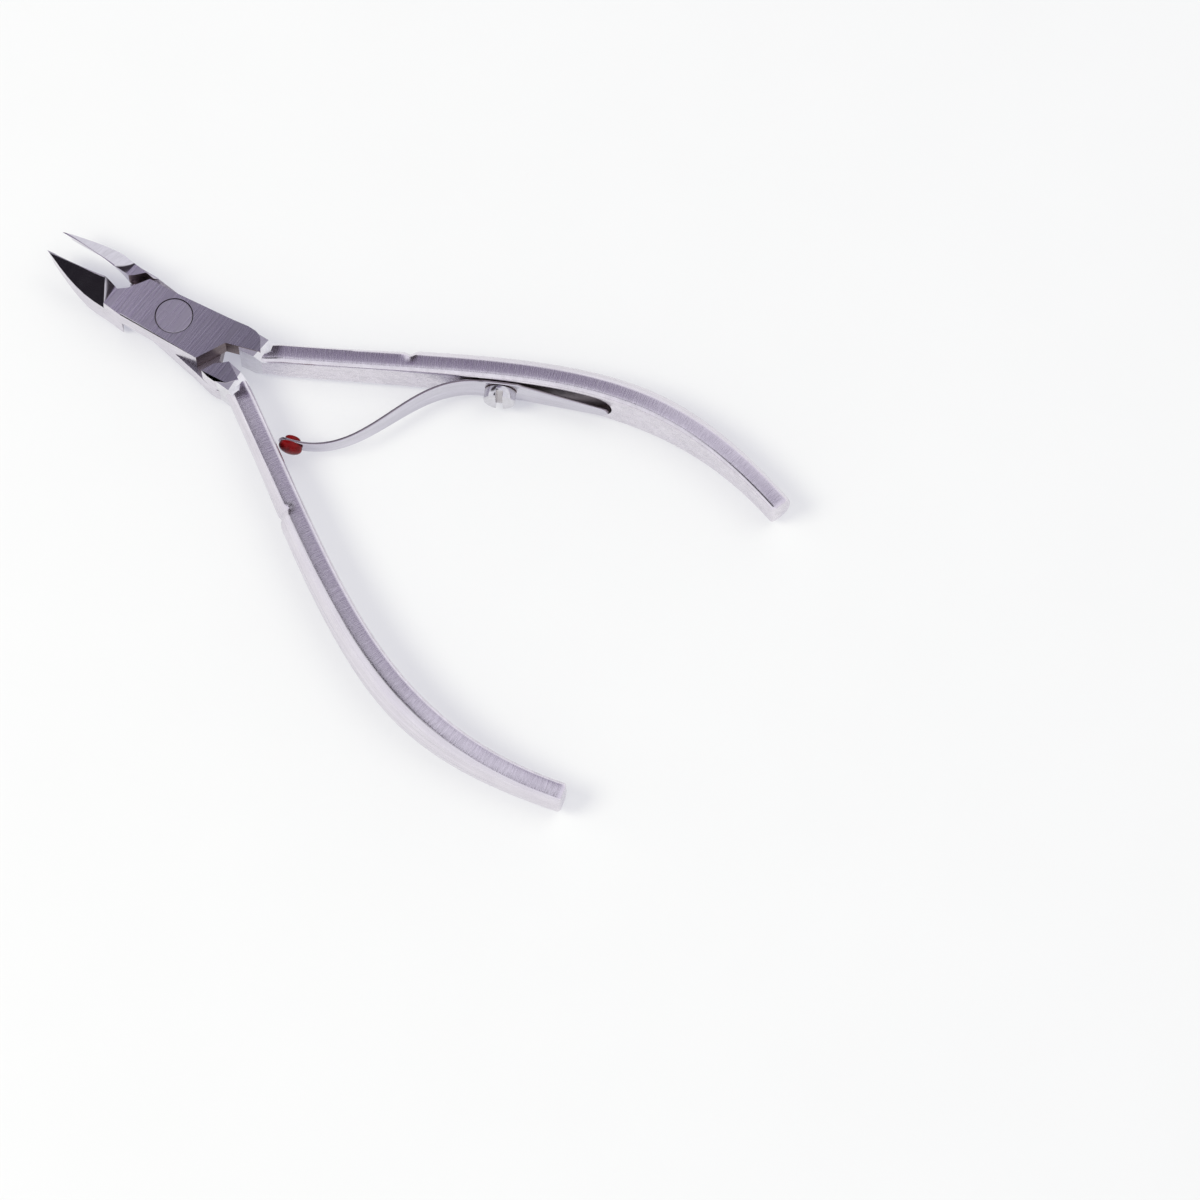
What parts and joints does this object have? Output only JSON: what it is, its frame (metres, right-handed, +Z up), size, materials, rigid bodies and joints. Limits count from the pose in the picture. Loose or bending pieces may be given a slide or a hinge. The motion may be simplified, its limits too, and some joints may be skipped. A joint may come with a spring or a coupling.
{
  "type": "nippers",
  "caption": "Fine-tipped half-lap nippers with hollow-ground cutting jaws, a flush riveted pivot, bowed handles and a swivelling leaf spring with a plastic button.",
  "frame": {"origin": "where the pivot axis meets the joint's flat underside", "axes": "+X from the pivot towards the handle ends, +Y towards the handle that carries the spring, +Z up along the pivot axis"},
  "size_m": [0.1217, 0.0696, 0.0082],
  "materials": {
    "ground_steel": "ground and brushed faces, polished edges",
    "rivet_steel": "ground flush with the joint's faces",
    "spring_steel": "satin",
    "bright_plating": "bright",
    "red_plastic": "glossy"
  },
  "bodies": {
    "plain_half": {"plain_half": "ground_steel", "pivot_rivet": "rivet_steel"},
    "spring_half": {"spring_half": "ground_steel", "spring_screw": "bright_plating"},
    "leaf": {"leaf_spring": "spring_steel"},
    "tip": {"tip_button": "red_plastic"}
  },
  "joints": [
    {"name": "pivot", "type": "hinge", "parent": "plain_half", "child": "spring_half", "pos_m": [0, 0, 0.0033], "axis": [0, 0, 1], "range_deg": [-9.5, 0], "stiffness_Nm_per_rad": 0.6},
    {"name": "leaf_swivel", "type": "hinge", "parent": "spring_half", "child": "leaf", "pos_m": [0.04882, 0.02111, 0.0033], "axis": [-0.4702, 0.8825, 0], "range_deg": [0, 165]},
    {"name": "leaf_flex", "type": "hinge", "parent": "leaf", "child": "tip", "pos_m": [0.00062, -0.02016, 0.0033], "axis": [0, 0, 1], "range_deg": [0, 16], "deforming": ["leaf_spring"]}
  ],
  "couplings": [
    {"joint": "leaf_flex", "follows": "pivot", "ratio": -1.6842}
  ]
}
